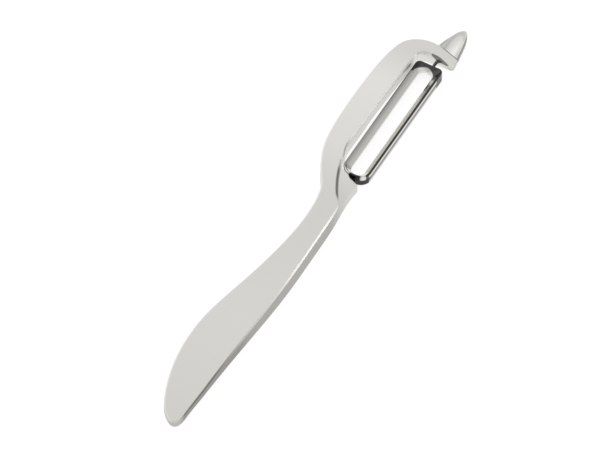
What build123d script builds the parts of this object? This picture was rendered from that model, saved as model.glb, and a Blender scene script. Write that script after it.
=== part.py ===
"""Vegetable peeler: a one-piece cast handle and frame, a slotted swivel blade and the two pins it turns on.

Millimetres. The peeler lies on its flat back: +X runs along it to the eye remover, +Y points to the arch
and +Z is the way its front looks. The origin is the middle of its footprint, on the surface it lies on.
"""
from build123d import *
import os
from math import sqrt

# Lengths along the peeler, from the butt of the handle to the tip of the eye remover
handle_length = 118.85
window_length = 60.0
nose_height = 5.0
scoop_length = 9.8

# Reaches from the pivot axis, to the arch's side and to the open side
arch_reach = 16.6
wall_reach = 7.6
bulge_reach = 14.8
neck_reach = 4.5
grip_reach = 4.0
lug_reach = 3.3
nose_reach = 7.9

# Thickness of the casting and the rounding of its long edges
grip_thickness = 7.4
front_round = 0.5
back_round = 0.5
corner_round = 0.6

# The lug below the blade, its slanting face under a step that follows the arch's inner wall
crease_radius = 52.1
face_width = 8.1
face_foot = 6.2
face_edge = 3.0
ledge_rise = 0.7
ledge_reach = 0.3

# The nose and the eye remover
nose_hook = 2.4
nose_corner_radius = 2.6
bevel_start = 1.0
bevel_edge = 0.6
bowl_radius = 4.33
bowl_tip_radius = 3.2
bowl_rise = 2.6
bowl_reach = 2.8
ridge_setback = 1.3
ridge_turn = -17.0
scoop_back_rise = 2.2

# The blade, pressed from sheet into a ring whose top slopes down to the slot
blade_half_width = 5.0
blade_height = 4.2
blade_foot = 0.9
sheet = 0.7
blade_low_corner = 4.0
blade_top_corner = 1.7
rim_round = 0.4
rim_flat = 0.2
slot_half_width = 2.55
slot_low_margin = 1.9
slot_top_margin = 2.2
lip_depth = 1.7
ear_radius = 1.5

# The pins and the room they turn in
pivot_height = 1.9
journal_radius = 0.55
running_clearance = 0.05
shoulder_radius = 0.85
shoulder_length = 0.5
head_radius = 1.0
head_thickness = 0.5
journal_depth = 2.4
end_play = 0.4
head_gap = 3.6
foot_gap = 2.0
swing_room = 0.6
corner_clearance = 0.35

# Outline of the casting, each pair a share along the handle, window or scoop and a share of the reach there
butt_shares = [(0.195, 0.28), (0.115, 0.155), (0.054, 0.05), (0.027, 0.02), (0.0093, -0.12), (0.0, -0.42)]
bulge_shares = [(0.0073, 0.3), (0.022, 0.43), (0.094, 0.736), (0.179, 0.926), (0.2845, 1.0), (0.364, 0.953),
                (0.469, 0.764), (0.577, 0.547), (0.686, 0.385)]
neck_shares = [(0.789, 1.0), (0.888, 1.133), (0.9316, 1.444)]
arch_shares = [(-0.058, 0.554), (0.022, 0.711), (0.105, 0.837), (0.295, 0.965), (0.583, 1.0), (0.787, 0.966),
               (0.947, 0.867), (1.015, 0.765), (1.055, 0.608), (1.08, 0.398)]
arch_end_share = 0.1
grip_shares = [(0.904, 0.8), (0.86, 0.92), (0.7615, 1.0), (0.562, 1.0), (0.4566, 0.83)]
scoop_edge_shares = [(0.3, 0.115), (0.67, -0.064), (0.91, -0.22), (1.0, -0.41), (0.89, -0.55), (0.65, -0.68),
                     (0.39, -0.77), (0.12, -0.83), (-0.3, -0.92)]
underside_shares = [(0.62, -0.6), (0.1, -0.2)]
wall_shares = [(0.9, 0.83), (0.783, 0.91), (0.625, 0.97), (0.465, 1.0), (0.305, 0.99), (0.167, 0.92)]
bend_share = 0.775

# Height of the front, each pair a share of the whole length and a share of the grip's thickness
front_shares = [(0.113, 0.5), (0.237, 0.757), (0.3455, 0.932), (0.474, 1.0), (0.588, 0.946), (0.666, 0.81),
                (0.743, 0.703), (0.846, 0.676), (0.9337, 0.743)]
butt_front_share = 0.4
tip_front_share = 0.62
crease_middle_share = 0.3

# Places that follow from these sizes
overall_length = handle_length + window_length + nose_height + scoop_length
overall_width = arch_reach + nose_reach
butt_x = -overall_length / 2
pivot_x = butt_x + handle_length
underside_x = pivot_x + window_length
nose_top_x = underside_x + nose_height
tip_x = nose_top_x + scoop_length
axis_y = (nose_reach - arch_reach) / 2
blade_top_x = underside_x - head_gap
blade_low_x = pivot_x + foot_gap
blade_length = blade_top_x - blade_low_x
blade_middle = ((blade_top_x + blade_low_x) / 2, axis_y)
slot_length = blade_length - slot_low_margin - slot_top_margin
slot_middle = (blade_low_x + slot_low_margin + slot_length / 2, axis_y)
blade_rim = blade_foot + blade_height
pivot_axis = Axis((0, axis_y, pivot_height), (1, 0, 0))
overrun = grip_thickness


def along_handle(share, reach):
    """A point of the outline: a share of the handle's length from its butt, and a reach from the axis."""
    return (butt_x + handle_length * share, axis_y + reach)


def along_window(share, reach):
    """A point of the outline: a share of the window's length from the lug, and a reach from the axis."""
    return (pivot_x + window_length * share, axis_y + reach)


def along_scoop(share, reach):
    """A point of the outline: a share of the scoop's length from the nose's top, and a reach from the axis."""
    return (nose_top_x + scoop_length * share, axis_y + reach)


os.makedirs("parts", exist_ok=True)

# Casting: the long outline runs from the lug's open side round the butt and up over the arch
grip_side = [along_handle(a, -grip_reach * r) for a, r in grip_shares]
butt_end = [along_handle(a, -grip_reach * r) for a, r in butt_shares]
bulge_side = [along_handle(a, bulge_reach * r) for a, r in bulge_shares]
neck_side = [along_handle(a, neck_reach * r) for a, r in neck_shares]
arch_side = [along_window(a, arch_reach * r) for a, r in arch_shares]
scoop_side = [along_scoop(a, nose_reach * r) for a, r in scoop_edge_shares]
wall_side = [along_window(a, wall_reach * r) for a, r in wall_shares]
underside = [(underside_x - nose_hook * a, axis_y + nose_reach * r) for a, r in underside_shares]

lug_corner = (pivot_x, axis_y - lug_reach)
arch_end = (nose_top_x, axis_y + arch_reach * arch_end_share)
nose_corner = (underside_x - nose_hook, axis_y - nose_reach)
bend_low = (underside_x, axis_y + wall_reach * bend_share - nose_corner_radius)
bend_high = (underside_x - nose_corner_radius, axis_y + wall_reach * bend_share)
ledge = (pivot_x + ledge_rise, axis_y + ledge_reach)
shelter_radius = blade_low_corner + corner_clearance
shelter_x = blade_low_x + blade_low_corner
shelter_y = axis_y + blade_half_width - blade_low_corner + swing_room
shelter_low = (shelter_x - shelter_radius, shelter_y)
shelter_top = (shelter_x, shelter_y + shelter_radius)

# The eye remover's bowl is cut by a cone that lies over the scoop, ended by an upright plane at the ridge
nose_front = grip_thickness * front_shares[-1][1]
bowl_low_x = nose_top_x - 2 * ridge_setback
bowl_y = axis_y - bowl_reach
bowl_z = nose_front + bowl_rise
ridge_normal = Vector(1, 0, 0).rotate(Axis.Z, ridge_turn)
with BuildPart() as bowl:
    with BuildSketch(Plane.YZ.offset(bowl_low_x)):
        with Locations((bowl_y, bowl_z)):
            Circle(bowl_radius)
    with BuildSketch(Plane.YZ.offset(tip_x)):
        with Locations((bowl_y, bowl_z)):
            Circle(bowl_tip_radius)
    loft(ruled=True)
    split(bisect_by=Plane(origin=(nose_top_x - ridge_setback, bowl_y, bowl_z), z_dir=ridge_normal), keep=Keep.TOP)

with BuildPart() as casting:
    with BuildSketch():
        with BuildLine():
            Spline(lug_corner, *grip_side, *butt_end, *bulge_side, *neck_side, *arch_side, arch_end)
            Spline(arch_end, *scoop_side, nose_corner)
            Spline(nose_corner, *underside, bend_low, tangents=[(nose_hook, nose_reach), (0, 1)])
            RadiusArc(bend_low, bend_high, -nose_corner_radius)
            Spline(bend_high, *wall_side, shelter_top, tangents=[(-1, 0), (-1, 0)])
            RadiusArc(shelter_top, shelter_low, -shelter_radius)
            Polyline(shelter_low, ledge, lug_corner)
        make_face()
    extrude(amount=grip_thickness + overrun)
    with BuildSketch(Plane.XZ.offset(-overall_width)):
        with BuildLine():
            crown = [(butt_x + overall_length * a, grip_thickness * r) for a, r in front_shares]
            low_end = (butt_x - overrun, grip_thickness * butt_front_share)
            high_end = (tip_x + overrun, grip_thickness * tip_front_share)
            Spline(low_end, *crown, high_end)
            Polyline(high_end, (high_end[0], 0), (low_end[0], 0), low_end)
        make_face()
    extrude(amount=2 * overall_width, mode=Mode.INTERSECT)
    uprights = casting.edges().filter_by(Axis.Z)
    sharp = [uprights.sort_by_distance((*place, front_round))[0] for place in (arch_end, nose_corner, lug_corner)]
    fillet(sharp, radius=corner_round)
    chamfer(casting.faces().sort_by(Axis.Z)[-1].edges(), length=front_round)
    chamfer(casting.faces().sort_by(Axis.Z)[0].edges(), length=back_round)

    # The lug's face is part of a wide cone, under a step that is tangent to the arch's inner wall
    crease_x = pivot_x + window_length * crease_middle_share
    crease_y = axis_y + wall_reach - crease_radius
    face_top = grip_thickness + overrun
    with BuildSketch(Plane(origin=(crease_x, crease_y, 0), x_dir=(0, 1, 0), z_dir=(1, 0, 0))):
        with BuildLine():
            inner = crease_radius - face_width
            foot = (crease_radius, face_foot)
            Polyline((inner, face_edge), foot, (foot[0], face_top), (inner, face_top), (inner, face_edge))
        make_face()
    revolve(axis=Axis((crease_x, crease_y, 0), (0, 0, 1)), mode=Mode.SUBTRACT)

    # The nose thins to its open side, and the eye remover's back rises to its tip
    bevel_slope = (nose_front - bevel_edge) / (nose_reach + bevel_start)
    bevel_low = (axis_y + bevel_start, 0)
    bevel_out = (axis_y - nose_reach - overrun, bevel_slope * (nose_reach + bevel_start + overrun))
    with BuildSketch(Plane.YZ.offset(underside_x - nose_hook - overrun)):
        with BuildLine():
            Polyline(bevel_low, bevel_out, (bevel_out[0], 0), bevel_low)
        make_face()
    extrude(amount=nose_hook + nose_height + scoop_length + 2 * overrun, mode=Mode.SUBTRACT)
    back_slope = scoop_back_rise / scoop_length
    with BuildSketch(Plane.XZ.offset(-overall_width)):
        with BuildLine():
            back_end = (tip_x + overrun, back_slope * (scoop_length + overrun))
            Polyline((nose_top_x, 0), back_end, (back_end[0], 0), (nose_top_x, 0))
        make_face()
    extrude(amount=2 * overall_width, mode=Mode.SUBTRACT)

    add(bowl.part, mode=Mode.SUBTRACT)

    # Blind bores for the two pins
    bore_radius = journal_radius + running_clearance
    bore_depth = journal_depth + end_play
    with BuildSketch(Plane.YZ.offset(pivot_x + ledge_rise - bore_depth)):
        with Locations((axis_y, pivot_height)):
            Circle(bore_radius)
    extrude(amount=bore_depth + end_play, mode=Mode.SUBTRACT)
    with BuildSketch(Plane.YZ.offset(underside_x - end_play)):
        with Locations((axis_y, pivot_height)):
            Circle(bore_radius)
    extrude(amount=bore_depth + end_play, mode=Mode.SUBTRACT)
casting.part.label = "casting"
export_step(casting.part, "parts/casting.step")
print("casting", casting.part.volume, len(casting.part.solids()))

# Blade: a ring of walls with bands that slope down to the slot's two cutting edges
slot_corner = slot_half_width - rim_flat
rim_margin = rim_round + rim_flat
slope_across = blade_half_width - rim_margin - slot_half_width
band_drop = sheet * sqrt(slope_across**2 + lip_depth**2) / slope_across


def ring_outline(inset, height):
    """The blade's outline on a level plane, its four corners rounded, drawn inside by an inset."""
    with BuildSketch(Plane.XY.offset(height)) as outline:
        with Locations(blade_middle):
            Rectangle(blade_length - 2 * inset, 2 * (blade_half_width - inset))
        fillet(outline.vertices().group_by(Axis.X)[0], radius=blade_low_corner - inset)
        fillet(outline.vertices().group_by(Axis.X)[-1], radius=blade_top_corner - inset)
    return outline.sketch


def slot_outline(height):
    """The slot's outline on a level plane, with corners rounded almost to half circles."""
    with BuildSketch(Plane.XY.offset(height)) as outline:
        with Locations(slot_middle):
            Rectangle(slot_length, 2 * slot_half_width)
        fillet(outline.vertices().group_by(Axis.X)[0], radius=slot_corner)
        fillet(outline.vertices().group_by(Axis.X)[-1], radius=slot_corner)
    return outline.sketch


with BuildPart() as hollow:
    extrude(ring_outline(sheet, 0), amount=blade_rim - band_drop)
    funnel = [slot_outline(blade_rim - lip_depth - band_drop), ring_outline(rim_margin, blade_rim - band_drop)]
    loft(funnel, ruled=True, mode=Mode.SUBTRACT)

with BuildPart() as blade:
    extrude(ring_outline(0, blade_foot), amount=blade_height)
    fillet(blade.edges().group_by(Axis.Z)[-1], radius=rim_round)
    add(hollow.part, mode=Mode.SUBTRACT)
    extrude(slot_outline(0), amount=blade_rim, mode=Mode.SUBTRACT)
    funnel = [slot_outline(blade_rim - lip_depth), ring_outline(rim_margin, blade_rim)]
    loft(funnel, ruled=True, mode=Mode.SUBTRACT)
    with BuildSketch(Plane.YZ.offset(blade_low_x), Plane.YZ.offset(blade_top_x - sheet)):
        with Locations((axis_y, pivot_height)):
            Circle(ear_radius)
            Circle(journal_radius, mode=Mode.SUBTRACT)
    extrude(amount=sheet)
    with BuildSketch(Plane.YZ.offset(blade_low_x), Plane.YZ.offset(blade_top_x - sheet)):
        with Locations((axis_y, pivot_height)):
            Circle(journal_radius)
    extrude(amount=sheet, mode=Mode.SUBTRACT)
blade.part.label = "blade"
export_step(blade.part, "parts/blade.step")
print("blade", blade.part.volume, len(blade.part.solids()))

# Pins: a head inside the blade's end wall, a shoulder outside it and a journal in the casting
def pin_outline(wall_x, away, reach):
    """Half outline of a pin whose blade wall starts at wall_x, pointing away (+1 or -1) to its reach."""
    radii = [head_radius, head_radius, journal_radius, journal_radius, shoulder_radius, shoulder_radius]
    steps = [-sheet - head_thickness, -sheet, -sheet, 0, 0, shoulder_length]
    outer = [(wall_x + away * step, axis_y + radius) for step, radius in zip(steps, radii)]
    last = wall_x + away * reach
    neck = [(wall_x + away * shoulder_length, axis_y + journal_radius), (last, axis_y + journal_radius)]
    return [(outer[0][0], axis_y), *outer, *neck, (last, axis_y)]


with BuildPart() as upper_pin:
    with BuildSketch(Plane.XY.offset(pivot_height)):
        with BuildLine():
            Polyline(*pin_outline(blade_top_x, 1, head_gap + journal_depth), close=True)
        make_face()
    revolve(axis=pivot_axis)
upper_pin.part.label = "upper_pivot_pin"
export_step(upper_pin.part, "parts/upper_pivot_pin.step")

with BuildPart() as lower_pin:
    with BuildSketch(Plane.XY.offset(pivot_height)):
        with BuildLine():
            Polyline(*pin_outline(blade_low_x, -1, foot_gap - ledge_rise + journal_depth), close=True)
        make_face()
    revolve(axis=pivot_axis)
lower_pin.part.label = "lower_pivot_pin"
export_step(lower_pin.part, "parts/lower_pivot_pin.step")
print("pins", upper_pin.part.volume, lower_pin.part.volume)
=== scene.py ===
# %% [markdown]
# # A cast vegetable peeler
# The peeler's measured pieces come ready made: one casting, a pressed blade and the two pins
# it turns on. This lesson sets up the camera and a soft white studio, then gives each piece
# the finish of the real metal, with painted reflections and painted shade in its colour.
# Nothing is modelled here, because the measured pieces already have the peeler's forms.

# %% Load the measured pieces
import bpy
import math
from mathutils import Matrix, Vector


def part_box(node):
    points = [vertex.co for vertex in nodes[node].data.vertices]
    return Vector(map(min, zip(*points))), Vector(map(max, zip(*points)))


mm = 1000.0  # millimetres in a metre
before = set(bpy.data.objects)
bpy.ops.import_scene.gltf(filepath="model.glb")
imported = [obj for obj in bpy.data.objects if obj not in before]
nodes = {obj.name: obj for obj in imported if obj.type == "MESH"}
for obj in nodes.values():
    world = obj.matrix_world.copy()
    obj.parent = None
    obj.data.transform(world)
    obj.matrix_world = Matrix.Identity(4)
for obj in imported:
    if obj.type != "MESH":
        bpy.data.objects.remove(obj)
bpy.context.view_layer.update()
print("pieces:", sorted(nodes))

# %% [markdown]
# ## Camera
# The photograph was taken from far away with a long lens, so lines that are parallel on the
# peeler stay parallel in the picture. An orthographic camera does the same. Its three axes
# are written as directions in the peeler's own frame: to the right of the picture, up the
# picture, and towards the photographer.

# %% Camera
picture_up = Vector((0.679, 0.384, 0.626)).normalized()
to_camera = Vector((-0.554, -0.2925, 0.7795)).normalized()
picture_right = picture_up.cross(to_camera).normalized()
picture_up = to_camera.cross(picture_right).normalized()
picture_centre = Vector((0.0033, 0.0041, -0.0044))
picture_width = 0.2007
camera_distance = 0.9

camera_data = bpy.data.cameras.new("camera")
camera_data.type = "ORTHO"
camera_data.ortho_scale = picture_width
camera_data.clip_end = 10.0
camera = bpy.data.objects.new("camera", camera_data)
bpy.context.scene.collection.objects.link(camera)
turn = Matrix((picture_right, picture_up, to_camera)).transposed().to_4x4()
camera.matrix_world = Matrix.Translation(picture_centre + to_camera * camera_distance) @ turn
bpy.context.scene.camera = camera
print("camera looks along", [round(v, 3) for v in -to_camera])

# %% [markdown]
# ## Shader sums
# Shader maths reads best as sums. This small class wraps a socket of a node tree, so that
# adding or multiplying two of them adds the Math node that does it. A smooth step between
# two limits is used most: it is how a tone fades from one place on the metal to another.

# %% Shader sums


class Link:
    """A value or colour in a node tree, with arithmetic that adds Math nodes."""

    def __init__(self, tree, socket):
        self.tree = tree
        self.socket = socket

    def node(self, kind, settings=None, **values):
        """Adds a node of that type, sets it up, fills or links its sockets, returns its output."""
        made = self.tree.nodes.new(kind)
        for name, value in (settings or {}).items():
            if name == "stops":
                ramp = made.color_ramp
                for extra in range(len(value) - 2):
                    ramp.elements.new(0.5)
                for stop, (place, colour) in zip(ramp.elements, value):
                    stop.position = place
                    stop.color = colour
            else:
                setattr(made, name, value)
        for name, value in values.items():
            numbered = name[0] == "i" and name[1:].isdigit()
            key = int(name[1:]) if numbered else name.replace("_", " ")
            if isinstance(value, Link):
                self.tree.links.new(value.socket, made.inputs[key])
            else:
                made.inputs[key].default_value = value
        return Link(self.tree, made.outputs[0])

    def into(self, socket):
        """Links this value to a shader's socket."""
        self.tree.links.new(self.socket, socket)

    def maths(self, operation, first, second):
        return self.node("ShaderNodeMath", {"operation": operation}, i0=first, i1=second)

    def __add__(self, other):
        return self.maths("ADD", self, other)

    __radd__ = __add__

    def __mul__(self, other):
        return self.maths("MULTIPLY", self, other)

    __rmul__ = __mul__

    def __sub__(self, other):
        return self.maths("SUBTRACT", self, other)

    def __rsub__(self, other):
        return self.maths("SUBTRACT", other, self)

    def __abs__(self):
        return self.node("ShaderNodeMath", {"operation": "ABSOLUTE"}, i0=self)

    def root(self):
        return self.node("ShaderNodeMath", {"operation": "SQRT"}, i0=self)

    def least(self, other):
        return self.maths("MINIMUM", self, other)

    def most(self, other):
        return self.maths("MAXIMUM", self, other)

    def clip(self):
        """Held between zero and one."""
        return self.node("ShaderNodeClamp", i0=self)

    def smooth(self, low, high):
        """Zero at low, one at high, and a smooth step between, also where high is the smaller."""
        settings = {"interpolation_type": "SMOOTHSTEP"}
        return self.node("ShaderNodeMapRange", settings, i0=self, i1=low, i2=high)

    def xyz(self):
        """The three parts of a vector."""
        split = self.node("ShaderNodeSeparateXYZ", i0=self).socket.node
        return [Link(self.tree, split.outputs[axis]) for axis in "XYZ"]


print("a link can:", sorted(name for name in vars(Link) if name[0] != "_"))

# %% [markdown]
# ## Light table
# A light table is the usual place for such a photograph: its glass glows evenly from below,
# so hardly a shadow is left on it. A dull grey plane with a white glow does the same. It has
# no gloss, because a mirror image of the peeler would give the plane away.

# %% Light table
reach = 3.0
corners = [(-reach, -reach, 0), (reach, -reach, 0), (reach, reach, 0), (-reach, reach, 0)]
floor_mesh = bpy.data.meshes.new("floor")
floor_mesh.from_pydata(corners, [], [(0, 1, 2, 3)])
floor = bpy.data.objects.new("floor", floor_mesh)
bpy.context.scene.collection.objects.link(floor)

table_finish = bpy.data.materials.new("light_table")
table_finish.use_nodes = True
glass = table_finish.node_tree.nodes["Principled BSDF"]
glass.inputs["Base Color"].default_value = (0.2, 0.2, 0.2, 1)
glass.inputs["Roughness"].default_value = 0.9
glass.inputs["Specular IOR Level"].default_value = 0.0
glass.inputs["Emission Color"].default_value = (1, 1, 1, 1)
glass.inputs["Emission Strength"].default_value = 0.88
floor_mesh.materials.append(table_finish)
print("light table is", 2 * reach, "m wide")

# %% [markdown]
# ## Room
# Metal shows the room more than it shows the lamps. The world is that room: an even grey that
# gets brighter overhead, as from a white ceiling, and brighter still towards the wall on the
# arch's side. The direction of each ray gives its place on the walls and ceiling. The Standard
# view transform keeps white glass white.

# %% Room
even_light = 0.40
ceiling_light = 0.52
wall_light = 0.6
wall_begins = 0.3


def coordinates(owner, kind):
    """One output of a Texture Coordinate node in a material's or the world's node tree."""
    tree = owner.node_tree
    return Link(tree, tree.nodes.new("ShaderNodeTexCoord").outputs[kind])


world = bpy.data.worlds.new("room")
bpy.context.scene.world = world
world.use_nodes = True
background = world.node_tree.nodes["Background"]
background.inputs["Color"].default_value = (1, 1, 1, 1)
side, up = coordinates(world, "Generated").xyz()[1:]
room_light = up.clip() * ceiling_light + (side - wall_begins).clip() * wall_light + even_light
room_light.into(background.inputs["Strength"])
bpy.context.scene.view_settings.view_transform = "Standard"
print("room's light:", even_light, "level,", round(even_light + ceiling_light, 2), "overhead")

# %% [markdown]
# ## Lamp
# One small box lamp, low on the peeler's open side, draws the bright line along the handle's
# edge. A round patch of light would be too soft for that, so the box is small and far off.

# %% Lamp
lamp_distance = 1.2
edge_box = bpy.data.lights.new("edge_box", "AREA")
edge_box.size = 0.2
edge_box.energy = 0.6
lamp = bpy.data.objects.new("edge_box", edge_box)
to_lamp = Vector((0.554, -0.811, 0.187)).normalized()
aim = to_lamp.to_track_quat("Z", "Y").to_matrix().to_4x4()
lamp.matrix_world = Matrix.Translation(to_lamp * lamp_distance) @ aim
lamp.visible_camera = False
bpy.context.scene.collection.objects.link(lamp)

# %% [markdown]
# ## Satin casting
# The casting was tumbled with stones until it turned satin: evenly grey, a little soft, with
# the faintest orange-peel. Fine noise in the bump gives the peel, and slow noise in the
# roughness keeps large reflections from looking printed on. Both read Object coordinates, so
# the grain stays on the metal.

# %% Satin casting
smoothest = 0.27
roughness_change = 0.08


def new_finish(name):
    """A new metal material and its Principled node."""
    material = bpy.data.materials.new(name)
    material.use_nodes = True
    metal = material.node_tree.nodes["Principled BSDF"]
    metal.inputs["Metallic"].default_value = 1.0
    return material, metal


satin_metal, satin = new_finish("satin_casting")
place = coordinates(satin_metal, "Object")
slow = place.node("ShaderNodeTexNoise", i0=place, Scale=60.0, Detail=2.0)
fine = place.node("ShaderNodeTexNoise", i0=place, Scale=2500.0, Detail=2.0)
(slow * roughness_change + smoothest).into(satin.inputs["Roughness"])
orange_peel = fine.node("ShaderNodeBump", Strength=0.05, Distance=0.0001, Height=fine)
orange_peel.into(satin.inputs["Normal"])
print("satin roughness about", round(smoothest + roughness_change / 2, 2))

# %% [markdown]
# ## A ruler for the metal
# The room round the real peeler had dark parts, and the metal mirrors them in a few places.
# Those tones are painted on by place, so that they belong to the metal and stay there when
# the peeler turns. A ruler makes the places readable: millimetres along the peeler from the
# lower pivot, across it from the line of the two pivots, and up from the flat back. The
# normal tells which way the metal faces there.

# %% A ruler for the metal
lug_to_blade = 0.002
blade_low, blade_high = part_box("blade")
pivot_x = blade_low[0] - lug_to_blade
axis_y = (blade_low[1] + blade_high[1]) / 2


def ruler(place, start_x):
    """Millimetres along from a start, across from the pivots' line, and up from the back."""
    x, y, z = place.xyz()
    return (x - start_x) * mm, (y - axis_y) * mm, z * mm


along, across, up = ruler(place, pivot_x)
facing_x, facing_y, facing_z = coordinates(satin_metal, "Normal").xyz()
level = facing_z * facing_z
faces_open_side = 0 - facing_y
print("lower pivot at", [round(v * mm, 2) for v in (pivot_x, axis_y)], "mm")

# %% [markdown]
# ## The handle's side
# The handle's open side stands upright, and a painted reflection of the dark end of the room
# darkens it. This painted shade starts at the lug, deepens down the handle, is darkest towards
# the butt and lets go at the butt's round rim. There the broken edge between face and side is
# painted nearly as dark as the side. The normal sorts upright metal from level metal, so no
# outline has to be drawn.

# %% The handle's side
side_starts = (3, 0)
side_deepens = (-4, -22)
butt_starts = (-66, -102)
edge_lets_go = (-117.8, -114)
side_lets_go = (-118, -112)
upright = (0.45, 0.1)
slanting = (0.65, 0.55)
turned_out = (0.45, 0.6)
edge_depth = 0.85

# painted reflection of the room's dark end on the handle's open side and its broken edge
on_handle = along.smooth(*side_starts) * 0.45 + along.smooth(*side_deepens) * 0.55
near_butt = along.smooth(*butt_starts)
broken_edge = level.smooth(*slanting) * faces_open_side.smooth(*turned_out)
butt_edge = broken_edge * near_butt * along.smooth(*edge_lets_go) * edge_depth
side_metal = (level.smooth(*upright) + butt_edge).clip()
side_depth = (along.smooth(*side_lets_go) * 0.6 + 0.4) * (near_butt * 0.4 + 0.64)
handle_side_painted_reflection = side_metal * on_handle * side_depth
print("the handle's side is shaded from", side_starts[0], "to", side_lets_go[0], "mm")

# %% [markdown]
# ## The step by the lug
# A curved step runs from the arch's inner wall down to the lug. Its foot is a tight inside
# corner where no light gets in, so the real casting shows a dark line there. The step is part
# of a circle, so the line is a narrow ring about the circle's middle, kept to the step's own
# length and height.

# %% The step by the lug
step_middle = (18, -44.5)
line_near_side = (51.2, 51.8)
line_far_side = (52.6, 52.1)
line_upper_end = (5.5, 0)
line_lower_end = (-11.2, -8.5)
line_foot = (4.5, 5.5)


def length(across, up):
    """How far a place is from zero: the root of the sum of the two squares."""
    return (across * across + up * up).root()


radius = length(along - step_middle[0], across - step_middle[1])
step_ring = radius.smooth(*line_near_side) * radius.smooth(*line_far_side)
step_span = along.smooth(*line_upper_end) * along.smooth(*line_lower_end)
step_line = step_ring * step_span * up.smooth(*line_foot)
print("the dark line is", round(line_far_side[1] - line_near_side[1], 1), "mm wide at its darkest")

# %% [markdown]
# ## Under the nose
# The nose's lower side faces the blade's dark end, and a painted reflection of it darkens the
# metal there as a wedge. The painted wedge hangs down from the face and is deepest near the
# line of the pivots. It is worked out from two straight lines across the peeler, and the lower
# of the two counts.

# %% Under the nose
nose_starts = (52, 57)
faces_blade = (-0.3, -0.7)
wedge_to_arch, wedge_to_open_side = 2.0, 5.8
wedge_slope = 0.5
wedge_edge = (5.2, 5.7)
wedge_tips = (0.0, 0.4)

# painted reflection of the blade's dark end: a dark wedge under the nose
wedge = (wedge_to_arch - across).least((across + wedge_to_open_side) * wedge_slope)
wedge_shade = (up + wedge).smooth(*wedge_edge) * wedge.smooth(*wedge_tips)
under_nose_painted_reflection = facing_x.smooth(*faces_blade) * along.smooth(*nose_starts) * wedge_shade
print("the wedge is", wedge_to_arch + wedge_to_open_side, "mm wide at the face")

# %% [markdown]
# ## The eye remover's bowl
# The eye remover is a small scoop at the tip. A slanting ridge parts it from the nose, and its
# bowl was cut by a cone, so a place lies in the bowl where it is no further from the cone's
# axis than the cone's radius there. The metal round the bowl is painted darker, as painted
# shade, and a fine painted dark line runs along the ridge.

# %% The eye remover's bowl
ridge_along, ridge_across = 63.7, -2.8
ridge_turn = math.radians(17)
cone_along, cone_up = 62.4, 8.1
cone_radius, cone_slope = 4.33, 0.0911
bowl_edge = (-0.12, -0.04)
ridge_edge = (-0.1, 0.1)
rim_starts, rim_depth = (0.0, 0.2), 0.45
ridge_line_width = ((-0.5, -0.2), (0.2, 0.0))
ridge_line_ends = ((4.8, 1.8), (-10, -4))
ridge_line_depth = 0.7

ridge_y = across - ridge_across
past_ridge = (along - ridge_along) * math.cos(ridge_turn) - ridge_y * math.sin(ridge_turn)
cone = cone_radius - (along - cone_along) * cone_slope
inside_cone = (cone - length(ridge_y, up - cone_up)).smooth(*bowl_edge)
in_bowl = inside_cone * past_ridge.smooth(*ridge_edge)
# painted shade on the metal round the bowl, and a painted dark line along the ridge
bowl_rim_painted_shade = past_ridge.smooth(*rim_starts) * (1 - in_bowl) * rim_depth
ridge_line = ridge_line_depth
for limits in ridge_line_width:
    ridge_line = past_ridge.smooth(*limits) * ridge_line
for limits in ridge_line_ends:
    ridge_line = ridge_y.smooth(*limits) * ridge_line
print("the ridge slants by", round(math.degrees(ridge_turn)), "degrees")

# %% [markdown]
# ## Light and line in the bowl
# A painted reflection of the table lightens the bowl on its open side, most of all near the
# ridge, and the rest of the bowl is painted a little darker. A faint painted dark line follows
# its edge, with slightly darker painted metal beyond it. The line is where a narrow rounded
# wedge, pointing to the ridge, ends.

# %% Light and line in the bowl
lit_side, lit_end = (2.2, -1.2), (74.5, 65.5)
bowl_light, bowl_shade = 0.26, 0.05
line_along, line_slope = 66, 0.295
line_sides, line_tip = (-2.0, -0.6), (70, 72)
line_inside, line_outside = (1.7, 2.1), (2.7, 2.2)
line_depth, beyond_depth = 0.12, 0.05

# painted reflection of the table in the bowl, and a painted dark line along its edge
lit = ridge_y.smooth(*lit_side) * along.smooth(*lit_end)
bowl_painted_light = in_bowl * (lit * bowl_light - bowl_shade)
scoop = length((along - line_along).most(0) * line_slope, ridge_y)
line_span = (ridge_y.smooth(*line_sides) + along.smooth(*line_tip)).clip()
line_shade = scoop.smooth(*line_outside) * line_depth + beyond_depth
scoop_line = in_bowl * line_span * scoop.smooth(*line_inside) * line_shade
print("the bowl's line starts", round(line_along - ridge_along, 1), "mm past the ridge")

# %% [markdown]
# ## The arch and the lug
# The arch's inner wall looks at the blade, so it is painted greyer than the face, and greyest
# at its foot, as painted shade. The face of the arch mirrors more of the ceiling than the
# handle's does, and so does the lug's slanting face, so a painted highlight takes a little
# shade off there.

# %% The arch and the lug
wall_faces_out = (0.25, 0.55)
wall_starts, wall_ends = (4, 14), (57, 52)
wall_depth, foot_depth = 0.32, 0.15
wall_foot = (1.6, 0.6)
arch_starts, arch_ends, arch_light = (-16, 14), (60, 40), 0.16
lug_slants = ((0.97, 0.95), (0.88, 0.91))
lug_ends, lug_light = (8, 6), 0.1

# painted shade on the arch's inner wall, greyest at its foot
inner_wall = faces_open_side.smooth(*wall_faces_out) * along.smooth(*wall_starts)
inner_wall = inner_wall * along.smooth(*wall_ends)
inner_shade = inner_wall * (up.smooth(*wall_foot) * foot_depth + wall_depth)
# painted highlights on the arch's face and the lug's slanting face
arch_painted_light = along.smooth(*arch_starts) * along.smooth(*arch_ends) * arch_light
on_lug = facing_z.smooth(*lug_slants[0]) * facing_z.smooth(*lug_slants[1])
lug_painted_light = on_lug * along.smooth(*lug_ends) * lug_light
print("the arch's wall is shaded from", wall_starts[0], "to", wall_ends[0], "mm")

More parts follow.
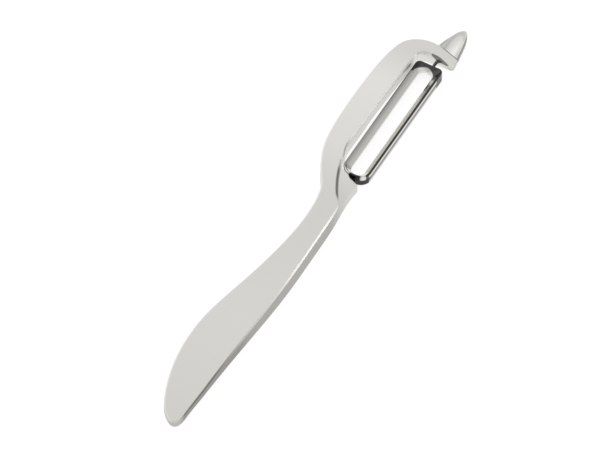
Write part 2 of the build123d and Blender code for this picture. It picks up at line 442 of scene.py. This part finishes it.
# %% [markdown]
# ## The casting's colour
# All these painted tones are one number: 0 is the brightest metal, 0.2 plain satin and 1 the
# darkest. The painted shades, with a slight darkening towards the butt, are added to plain
# satin and the painted highlights taken off, and a colour ramp turns the number into a
# slightly warm grey, as stainless steel has.

# %% The casting's colour
# ramp colours: painted highlight, plain satin and painted shade
painted_light_metal = (0.93, 0.92, 0.89, 1)
plain_metal = (0.78, 0.765, 0.73, 1)
painted_shade_metal = (0.25, 0.24, 0.22, 1)
plain_tone = 0.2
butt_tone = 0.03

# painted shades, with a slight darkening towards the butt, and painted highlights
nose_shade = under_nose_painted_reflection + bowl_rim_painted_shade + scoop_line + ridge_line
shade = handle_side_painted_reflection + step_line + inner_shade + nose_shade + near_butt * butt_tone
glow = bowl_painted_light + arch_painted_light + lug_painted_light
tone = (shade + plain_tone - glow).clip()
stops = [(0.0, painted_light_metal), (plain_tone, plain_metal), (1.0, painted_shade_metal)]
colour = tone.node("ShaderNodeValToRGB", {"stops": stops}, i0=tone)
colour.into(satin.inputs["Base Color"])
print("nodes in the casting's finish:", len(satin_metal.node_tree.nodes))

# %% [markdown]
# ## Polished blade
# The blade is pressed from thin sheet and polished, so its roughness is low and its mirror
# images are sharp. The same ruler is used for it, now from the blade's own low end. The low
# end's corners are round, and the distance from their middles is a ring that follows the rim
# round the end.

# %% Polished blade
polished_steel, polish = new_finish("polished_blade")
polish.inputs["Roughness"].default_value = 0.15
from_low, across, up = ruler(coordinates(polished_steel, "Object"), blade_low[0])
blade_length = (blade_high[0] - blade_low[0]) * mm
blade_top = blade_high[2] * mm
corner_along, corner_across = 4.0, 1.0
ring = length((corner_along - from_low).most(0), (abs(across) - corner_across).most(0))
print("blade in mm:", round(blade_length, 1), "long, its top at", round(blade_top, 1))

# %% [markdown]
# ## The blade's low end
# A painted reflection of the dark lug shows on the low end as a dark crescent round the end of
# the slot: the outer part of the ring and the band at the very end together. A light patch is
# left unpainted where the long open band runs round the corner, and two thin painted dark
# lines close it.

# %% The blade's low end
crescent_inside, crescent_ends = (3.1, 3.4), (3.2, 2.0)
band_ends, band_side = (2.4, 1.9), (-2.2, -1.0)
dark_side = (1.8, 0.4)
patch_side, patch_top = (-2.4, -3.2), (2.8, 3.6)
outer_wall, band_depth = (3.4, 3.9), 0.88

# painted reflection of the dark lug: the dark crescent at the blade's low end
crescent = ring.smooth(*crescent_inside) * from_low.smooth(*crescent_ends)
end_band = from_low.smooth(*band_ends) * across.smooth(*band_side)
light_patch = across.smooth(*patch_side) * up.smooth(*patch_top)
end_side = across.smooth(*dark_side) * (1 - light_patch)
end_depth = ring.smooth(*outer_wall) * (1 - band_depth) + band_depth
low_end_painted_reflection = (crescent + end_band) * end_side * end_depth
print("the crescent ends", crescent_ends[0], "mm from the blade's low end")

# %% [markdown]
# ## Two lines at the low end
# Both lines are painted shade. The first runs round the slot's end on the arch's side. The
# second crosses the open band below the light patch. Each is a band between two smooth steps,
# cut to its length by two more.

# %% Two lines at the low end
slot_line_sides = ((2.9, 3.1), (3.5, 3.3))
slot_line_end, slot_line_start, slot_line_depth = (3.6, 2.8), (-1.0, 1.0), 0.6
patch_line_sides = ((1.5, 1.9), (3.1, 2.5))
patch_line_start, patch_line_depth = (-3.8, -4.2), 0.9

# painted shade: two thin dark lines at the blade's low end
slot_ring = ring.smooth(*slot_line_sides[0]) * ring.smooth(*slot_line_sides[1])
slot_span = from_low.smooth(*slot_line_end) * across.smooth(*slot_line_start)
slot_line = slot_ring * slot_span * slot_line_depth
patch_span = from_low.smooth(*patch_line_sides[0]) * from_low.smooth(*patch_line_sides[1])
patch_line = patch_span * across.smooth(*patch_line_start) * patch_line_depth
low_shade = low_end_painted_reflection + slot_line + patch_line
patch_line_width = round(patch_line_sides[1][1] - patch_line_sides[0][1], 1)
print("the line by the patch is", patch_line_width, "mm wide at its darkest")

# %% [markdown]
# ## The blade's high end
# The high end lies under the nose, and a painted reflection of its dark underside darkens it.
# The painted dark starts at a circle about the end of the slot, which is stretched a little
# to one side.

# %% The blade's high end
slot_end, stretch = 4.75, 0.16
circle_edge, high_end_starts = (3.2, 3.6), (-1.0, 0.4)
high_end_depth = 0.95
past_slot = from_low - (blade_length - slot_end)
round_slot = length(past_slot, across) - across * stretch
# painted reflection of the nose's dark underside on the blade's high end
high_shade = round_slot.smooth(*circle_edge) * past_slot.smooth(*high_end_starts) * high_end_depth
print("the dark starts round a place", slot_end, "mm from the blade's high end")

# %% [markdown]
# ## The blade's folds and walls
# Along its open side the sheet is folded down into a wall. The fold itself is painted as a thin
# dark line, and the wall has one dark stripe of painted reflection at mid-height. The band by
# the arch is painted greyer as a painted reflection of the arch, and its edge is painted
# greyest in the upper part.

# %% The blade's folds and walls
fold_side, fold_height = (-4.1, -4.4), (blade_top - 0.6, blade_top - 0.2)
wall_side, wall_tone = (-4.6, -4.9), 0.08
stripe_foot, stripe_top, stripe_depth = (1.2, 2.6), (3.8, 3.2), 0.8
arch_band, arch_band_depth = (3.0, 4.4), 0.35
arch_rim, arch_rim_depth = (4.2, 4.6), 0.25
arch_height = (3.0, 3.6)
arch_edge, arch_edge_starts, arch_edge_depth = (4.3, 4.6), (18, 34), 0.2

# painted dark line, stripe and greyer band along the blade
fold = across.smooth(*fold_side) * up.smooth(*fold_height)
stripe = up.smooth(*stripe_foot) * up.smooth(*stripe_top) * stripe_depth
open_wall = across.smooth(*wall_side) * (stripe + wall_tone)
by_arch = across.smooth(*arch_band) * arch_band_depth + across.smooth(*arch_rim) * arch_rim_depth
edge_line = across.smooth(*arch_edge) * from_low.smooth(*arch_edge_starts) * arch_edge_depth
long_shade = fold + open_wall + by_arch * up.smooth(*arch_height) + edge_line
print("the fold lies", [round(v, 1) for v in fold_height], "mm up")

# %% [markdown]
# ## The blade's colour
# For the blade 0 is plain polished steel and 1 the darkest painted reflection. Two stops are
# enough, because nothing on it is brighter than the plain steel.

# %% The blade's colour
# the second stop is the colour of the darkest painted reflection
light_steel = (0.73, 0.72, 0.69, 1)
painted_reflection_steel = (0.05, 0.05, 0.05, 1)
tone = (low_shade + high_shade + long_shade).clip()
stops = [(0.0, light_steel), (1.0, painted_reflection_steel)]
colour = tone.node("ShaderNodeValToRGB", {"stops": stops}, i0=tone)
colour.into(polish.inputs["Base Color"])
print("nodes in the blade's finish:", len(polished_steel.node_tree.nodes))

# %% [markdown]
# ## The pins
# The two pins are turned from steel wire. They lie in the dark between the blade's ends and
# the casting, so their plain dark grey is painted shade rather than the steel's own colour, and
# one grey is enough for pieces this small.

# %% The pins
pin_steel, pin = new_finish("shaded_pin")
# dark grey as painted shade for the pins
pin.inputs["Base Color"].default_value = (0.2, 0.2, 0.2, 1)
pin.inputs["Roughness"].default_value = 0.25
print("pin roughness:", round(pin.inputs["Roughness"].default_value, 2))

# %% [markdown]
# ## Dressing the pieces
# The measured pieces keep their meshes. Only the material in each of their slots changes.

# %% Dressing the pieces
finishes = {
    "casting": satin_metal,
    "blade": polished_steel,
    "upper_pivot_pin": pin_steel,
    "lower_pivot_pin": pin_steel,
}
for name, material in finishes.items():
    for held in nodes[name].material_slots:
        held.material = material
    print(name, "wears", material.name)

# %% [markdown]
# ## Sizes
# The dressed peeler has the size of the measured pieces, because nothing was added to them.
